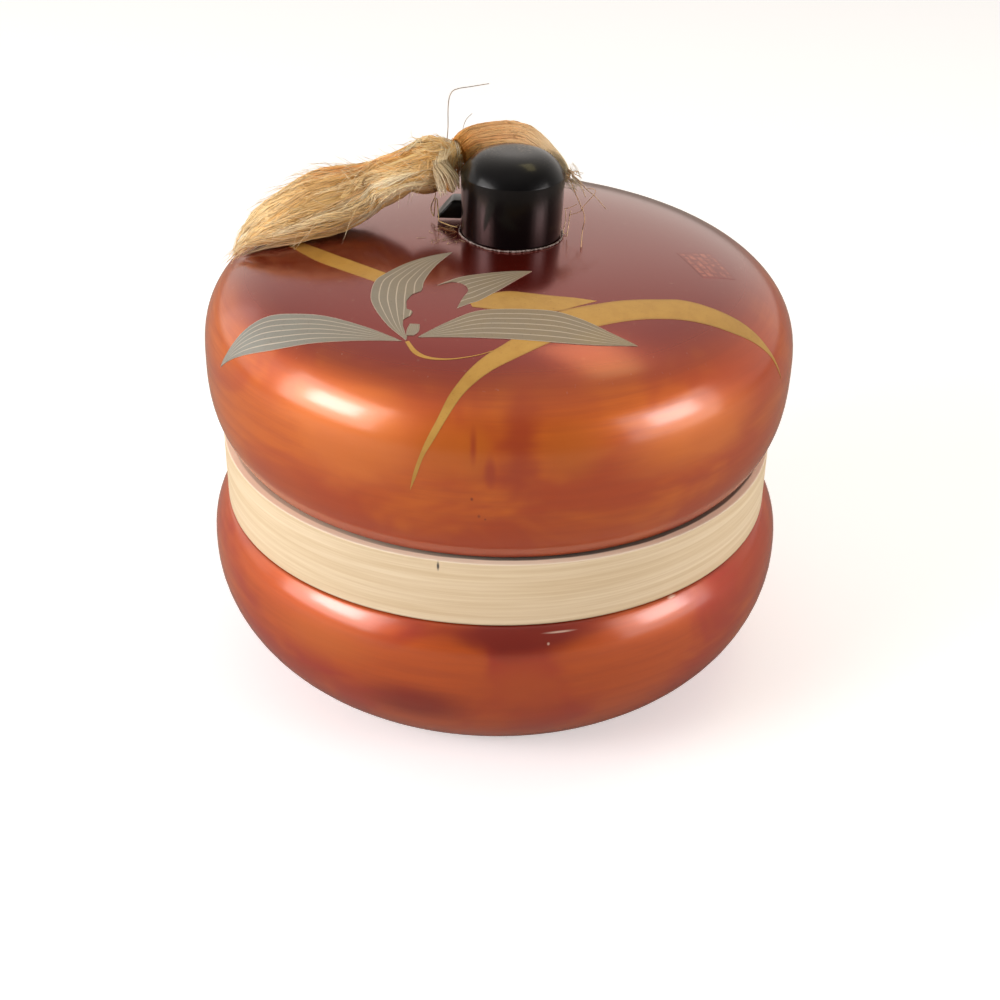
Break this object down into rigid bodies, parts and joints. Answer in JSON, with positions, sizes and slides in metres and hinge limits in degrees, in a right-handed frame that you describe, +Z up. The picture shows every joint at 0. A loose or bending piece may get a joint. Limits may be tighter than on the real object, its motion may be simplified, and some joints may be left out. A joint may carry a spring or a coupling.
{
  "type": "lacquer trinket box",
  "caption": "Round lacquered box with a lift-off domed lid, a pale wood band, a black knob and a silk tassel; holds small things.",
  "frame": {"origin": "middle of the bowl's flat underside", "axes": "+Z up through the lid; -Y towards the viewer of the picture; +X to the viewer's right"},
  "size_m": [0.152, 0.152, 0.1405],
  "materials": {
    "lacquer": "orange-red translucent lacquer over gold ground, gloss",
    "bare_wood": "pale bare wood, turned, satin",
    "black_lacquer": "black lacquer, gloss",
    "silk": "worn silk floss, soft sheen",
    "silver": "tarnished silver foil",
    "gold": "dull gold foil",
    "red_seal": "worn red stamp"
  },
  "bodies": {
    "root": {"bowl": "lacquer", "wood_band": "bare_wood", "lid": "lacquer", "knob": "black_lacquer", "tassel": "silk"}
  },
  "joints": []
}
